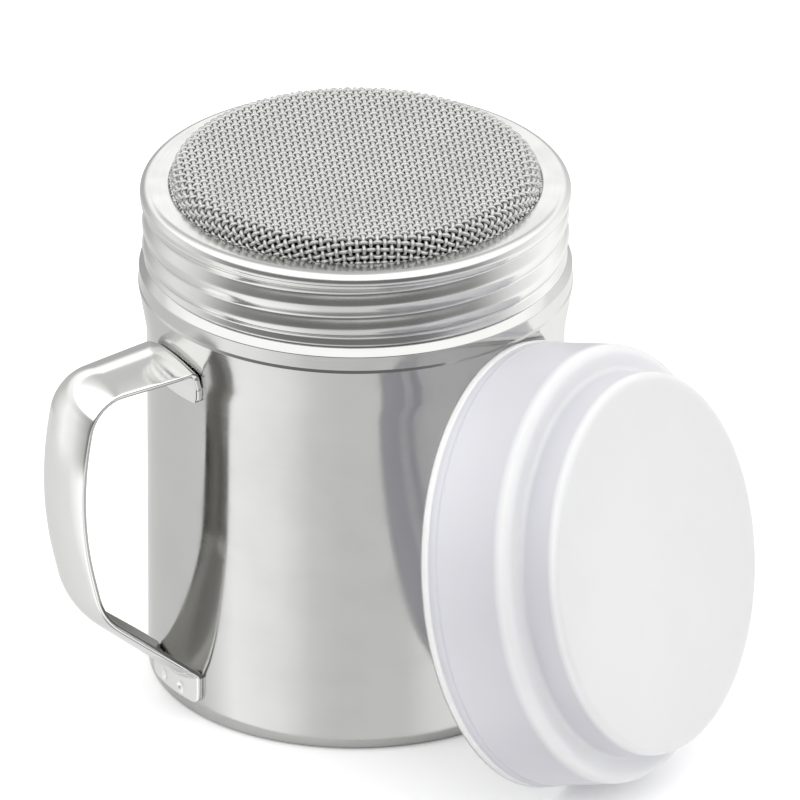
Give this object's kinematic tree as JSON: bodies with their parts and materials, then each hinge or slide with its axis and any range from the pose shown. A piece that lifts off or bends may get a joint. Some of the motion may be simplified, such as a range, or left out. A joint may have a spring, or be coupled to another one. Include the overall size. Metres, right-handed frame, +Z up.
{
  "type": "powder shaker",
  "caption": "Steel hand shaker for icing sugar: can with a strap handle, screw-on lid with a raised woven screen, and a loose stepped plastic cover cap leaning on it.",
  "frame": {"origin": "centre of the can's base, on the surface that the shaker stands on", "axes": "+Z up along the can's axis, the handle points along -X"},
  "size_m": [0.1009, 0.1158, 0.0896],
  "materials": {
    "can_steel": "satin",
    "handle_steel": "polished",
    "lid_steel": "satin",
    "screen_wire": "woven wire",
    "cap_plastic": "white polypropylene, slightly see-through"
  },
  "bodies": {
    "can": {"can_body": "can_steel", "handle": "handle_steel"},
    "lid_carrier": {"mesh_ring": "lid_steel"},
    "lid": {"lid_collar": "lid_steel", "mesh_screen": "screen_wire"},
    "cap": {"cover_cap": "cap_plastic"}
  },
  "joints": [
    {"name": "lid_rise", "type": "slide", "parent": "can", "child": "lid_carrier", "axis": [0, 0, 1], "range_m": [0, 0.0169]},
    {"name": "lid_turn", "type": "hinge", "parent": "lid_carrier", "child": "lid", "pos_m": [0, 0, 0.0839], "axis": [0, 0, 1], "range_deg": [0, 1440]},
    {"name": "cap_slide", "type": "slide", "parent": "can", "child": "cap", "axis": [0.4778, -0.8445, 0.2419], "range_m": [0, 0.06]}
  ],
  "couplings": [
    {"joint": "lid_rise", "follows": "lid_turn", "m_per_rad": 0.00066845}
  ]
}
